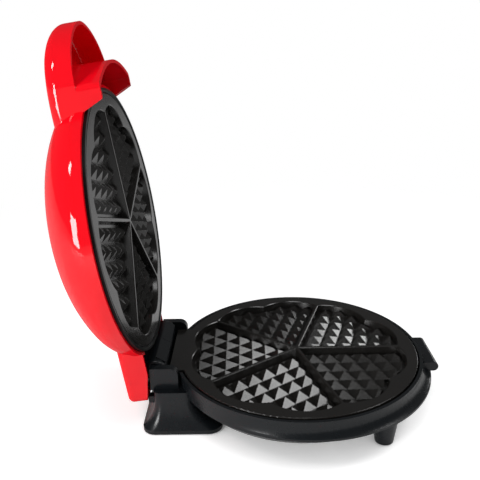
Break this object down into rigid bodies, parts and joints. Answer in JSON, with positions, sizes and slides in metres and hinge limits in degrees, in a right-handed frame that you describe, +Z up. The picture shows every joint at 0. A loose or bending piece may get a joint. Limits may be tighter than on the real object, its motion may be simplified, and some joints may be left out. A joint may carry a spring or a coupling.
{
  "type": "heart waffle maker",
  "caption": "Round hinged waffle maker: black base with heart-shaped recesses full of points, matching plate in a glossy red domed lid with a hollow grip.",
  "frame": {"origin": "middle of the footprint of the open waffle maker, on the table", "axes": "+Z up, -Y towards the grip when the lid is closed, +X along the hinge"},
  "size_m": [0.2206, 0.31, 0.3187],
  "materials": {
    "base_black": "satin moulded",
    "lid_red": "high gloss",
    "liner_black": "satin moulded",
    "plate_coating": "dark non-stick coating on cast aluminium",
    "heater_steel": "dull sheathed tube",
    "reflector_sheet": "plain sheet",
    "screw_steel": "plated",
    "pad_rubber": "matt",
    "terminal_plastic": "matt",
    "wire_sleeve": "woven heat-proof sleeve",
    "bush_brass": "turned",
    "power_red": "clear tinted",
    "ready_green": "clear tinted"
  },
  "bodies": {
    "base": {"base_shell": "base_black", "bottom_cover": "base_black", "lower_plate": "plate_coating", "lower_heater": "heater_steel", "lower_reflector": "reflector_sheet", "lower_plate_screws": "screw_steel", "cover_screws": "screw_steel", "front_foot_pads": "pad_rubber", "rear_foot_pads": "pad_rubber", "cord_gland": "pad_rubber", "terminal_block": "terminal_plastic", "thermal_fuse": "terminal_plastic", "base_wires": "wire_sleeve", "hinge_pin": "screw_steel"},
    "lid": {"lid_shell": "lid_red", "lid_liner": "liner_black", "hinge_barrel": "base_black", "hinge_bushes": "bush_brass", "upper_plate": "plate_coating", "upper_heater": "heater_steel", "upper_reflector": "reflector_sheet", "upper_plate_screws": "screw_steel", "liner_screws": "screw_steel", "thermostat": "heater_steel", "power_lens": "power_red", "ready_lens": "ready_green", "lamp_holder": "terminal_plastic", "lid_wires": "wire_sleeve"}
  },
  "joints": [
    {"name": "lid_hinge", "type": "hinge", "parent": "base", "child": "lid", "pos_m": [0, 0.08398, 0.0455], "axis": [1, 0, 0], "range_deg": [0, 98]}
  ]
}
